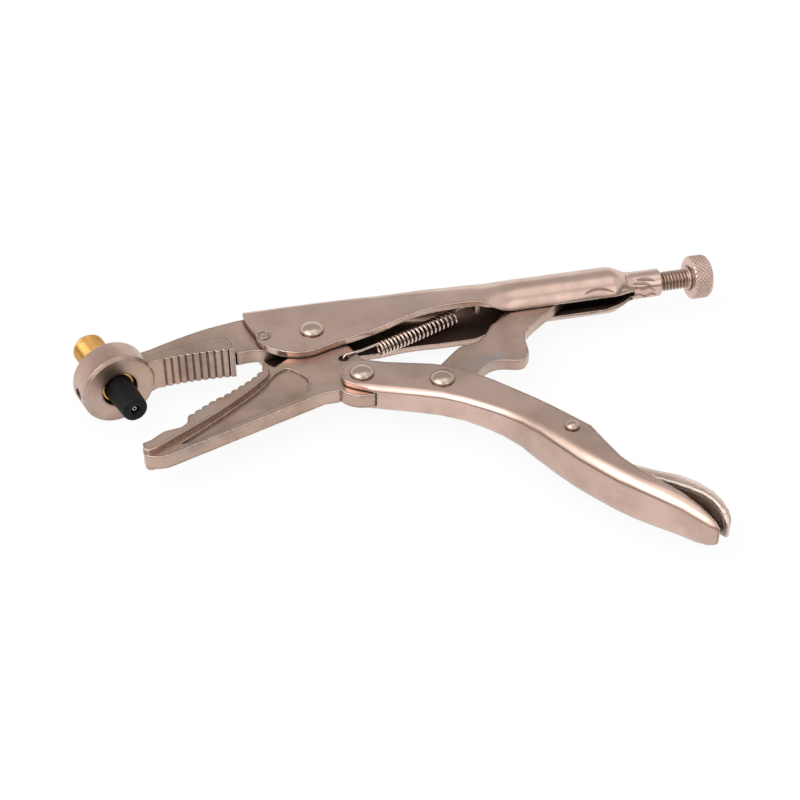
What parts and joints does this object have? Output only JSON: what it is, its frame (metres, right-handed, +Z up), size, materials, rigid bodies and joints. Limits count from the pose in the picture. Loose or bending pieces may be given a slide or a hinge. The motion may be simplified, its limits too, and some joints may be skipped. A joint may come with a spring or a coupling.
{
  "type": "tube-piercing locking pliers",
  "caption": "Locking pliers with pressed-steel handles, toothed jaws, and a ring at the jaw's end holding a brass flare fitting with a rubber-tipped piercing needle for refrigerant tube.",
  "frame": {"origin": "below the middle of the tool's bounding box, on the surface that the tool lies on", "axes": "+X along the adjusting screw from the jaws towards the knob; +Y from the lower handle towards the upper handle, in the plane in which the jaws and handles move; +Z up through the tool's thickness, along every rivet's axis"},
  "size_m": [0.2242, 0.1376, 0.025],
  "materials": {
    "handle_plating": "satin to bright warm nickel plating over pressed sheet",
    "jaw_plating": "warm nickel plating over forged steel, duller than the handles",
    "rivet_plating": "bright domed heads",
    "screw_plating": "nickel-plated machined steel",
    "spring_wire": "plain drawn wire",
    "brass": "machined yellow brass, lightly tarnished",
    "rubber": "matt black moulded rubber",
    "needle_steel": "ground and polished steel",
    "black_steel": "black oxide"
  },
  "bodies": {
    "frame": {"upper_handle": "handle_plating", "fixed_jaw": "jaw_plating", "main_rivet": "rivet_plating", "brass_fitting": "brass", "rubber_gasket": "rubber", "piercing_needle": "needle_steel", "set_screw": "black_steel"},
    "jaw": {"moving_jaw": "jaw_plating", "jaw_rivet": "rivet_plating", "return_spring": "spring_wire"},
    "grip": {"lower_handle": "handle_plating", "link_rivet": "rivet_plating", "lever_rivet": "rivet_plating"},
    "link": {"toggle_link": "jaw_plating"},
    "lever": {"release_lever": "handle_plating"},
    "screw": {"adjusting_screw": "screw_plating"},
    "knob": {"adjusting_knob": "screw_plating"}
  },
  "joints": [
    {"name": "jaw_hinge", "type": "hinge", "parent": "frame", "child": "jaw", "pos_m": [-0.03174, 0.05178, 0.0125], "axis": [0, 0, 1], "range_deg": [-15.4, 0], "deforming": ["return_spring"]},
    {"name": "grip_hinge", "type": "hinge", "parent": "jaw", "child": "grip", "pos_m": [-0.02024, 0.02518, 0.0125], "axis": [0, 0, 1], "range_deg": [0, 48.85]},
    {"name": "link_hinge", "type": "hinge", "parent": "grip", "child": "link", "pos_m": [0.00436, 0.01629, 0.0125], "axis": [0, 0, 1], "range_deg": [-45.77, 0]},
    {"name": "lever_hinge", "type": "hinge", "parent": "grip", "child": "lever", "pos_m": [0.03636, -0.01973, 0.0125], "axis": [0, 0, 1], "range_deg": [-2, 0]},
    {"name": "screw_slide", "type": "slide", "parent": "frame", "child": "screw", "axis": [1, 0, 0], "range_m": [0, 0.026]},
    {"name": "knob_spin", "type": "hinge", "parent": "screw", "child": "knob", "pos_m": [0.10826, 0.05858, 0.0125], "axis": [1, 0, 0], "range_deg": [0, 6900]}
  ],
  "couplings": [
    {"joint": "grip_hinge", "follows": "jaw_hinge", "ratio": -3.1714},
    {"joint": "link_hinge", "follows": "jaw_hinge", "ratio": 2.9714},
    {"joint": "screw_slide", "follows": "knob_spin", "m_per_rad": 0.00019894}
  ]
}
